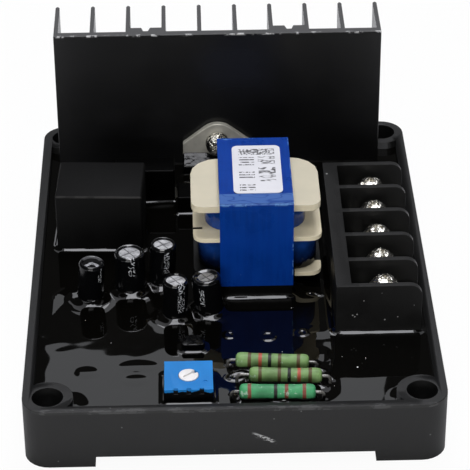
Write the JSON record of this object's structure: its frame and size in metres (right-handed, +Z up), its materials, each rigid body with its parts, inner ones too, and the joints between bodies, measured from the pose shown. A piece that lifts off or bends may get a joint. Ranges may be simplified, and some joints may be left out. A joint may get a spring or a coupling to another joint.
{
  "type": "automatic voltage regulator",
  "caption": "Voltage regulator module for a small brush generator: open tray of potted electronics with a finned heatsink and screw terminals, screwed down by its corner feet.",
  "frame": {"origin": "middle of the tray's outline, at the level of the feet's undersides", "axes": "+Z up out of the tray, +Y towards the heatsink, +X towards the terminals"},
  "size_m": [0.083, 0.11, 0.0448],
  "materials": {
    "tray_plastic": "moulded, lightly scuffed",
    "potting": "mirror-gloss cured resin",
    "board_laminate": "hidden laminate",
    "black_anodising": "black anodised, satin",
    "tinned_metal": "tinned",
    "black_epoxy": "glossy moulded epoxy",
    "relay_plastic": "satin",
    "core_steel": "varnished laminations",
    "bobbin_nylon": "natural nylon, satin",
    "winding_tape": "polyester tape",
    "core_tape": "polyester tape",
    "label_paper": null,
    "block_plastic": "moulded",
    "plated_steel": "bright plated",
    "can_aluminium": "bare, satin",
    "sleeve_film": "shrunk film, glossy",
    "trimmer_blue": "satin",
    "rotor_white": "satin",
    "resistor_olive": "lacquered",
    "resistor_green": "lacquered"
  },
  "bodies": {
    "module": {"potting_tray": "tray_plastic", "potting_compound": "potting", "circuit_board": "board_laminate", "heatsink": "black_anodising", "thyristor_tab": "tinned_metal", "thyristor_mold": "black_epoxy", "thyristor_washer": "plated_steel", "thyristor_screw": "plated_steel", "relay_case": "relay_plastic", "relay_base": "relay_plastic", "box_capacitor": "black_epoxy", "bridge_rectifier": "black_epoxy", "transformer_core": "core_steel", "bobbin": "bobbin_nylon", "primary_winding": "winding_tape", "secondary_winding": "winding_tape", "core_tape": "core_tape", "transformer_label": "label_paper", "terminal_block": "block_plastic", "trimmer_body": "trimmer_blue", "small_transistor": "black_epoxy", "terminal_plate_1": "plated_steel", "wire_clamp_1": "plated_steel", "terminal_screw_1": "plated_steel", "capacitor_can_1": "can_aluminium", "capacitor_sleeve_1": "sleeve_film", "terminal_plate_2": "plated_steel", "wire_clamp_2": "plated_steel", "terminal_screw_2": "plated_steel", "capacitor_can_2": "can_aluminium", "capacitor_sleeve_2": "sleeve_film", "terminal_plate_3": "plated_steel", "wire_clamp_3": "plated_steel", "terminal_screw_3": "plated_steel", "capacitor_can_3": "can_aluminium", "capacitor_sleeve_3": "sleeve_film", "terminal_plate_4": "plated_steel", "wire_clamp_4": "plated_steel", "terminal_screw_4": "plated_steel", "capacitor_can_4": "can_aluminium", "capacitor_sleeve_4": "sleeve_film", "terminal_plate_5": "plated_steel", "wire_clamp_5": "plated_steel", "terminal_screw_5": "plated_steel", "capacitor_can_5": "can_aluminium", "capacitor_sleeve_5": "sleeve_film", "resistor_body_1": "resistor_olive", "resistor_leads_1": "tinned_metal", "resistor_body_2": "resistor_olive", "resistor_leads_2": "tinned_metal", "resistor_body_3": "resistor_green", "resistor_leads_3": "tinned_metal"},
    "adjuster": {"trimmer_rotor": "rotor_white"}
  },
  "joints": [
    {"name": "trimmer_turn", "type": "hinge", "parent": "module", "child": "adjuster", "pos_m": [-0.009, -0.04573, 0.015], "axis": [0, 0, 1], "range_deg": [-130, 130]}
  ]
}
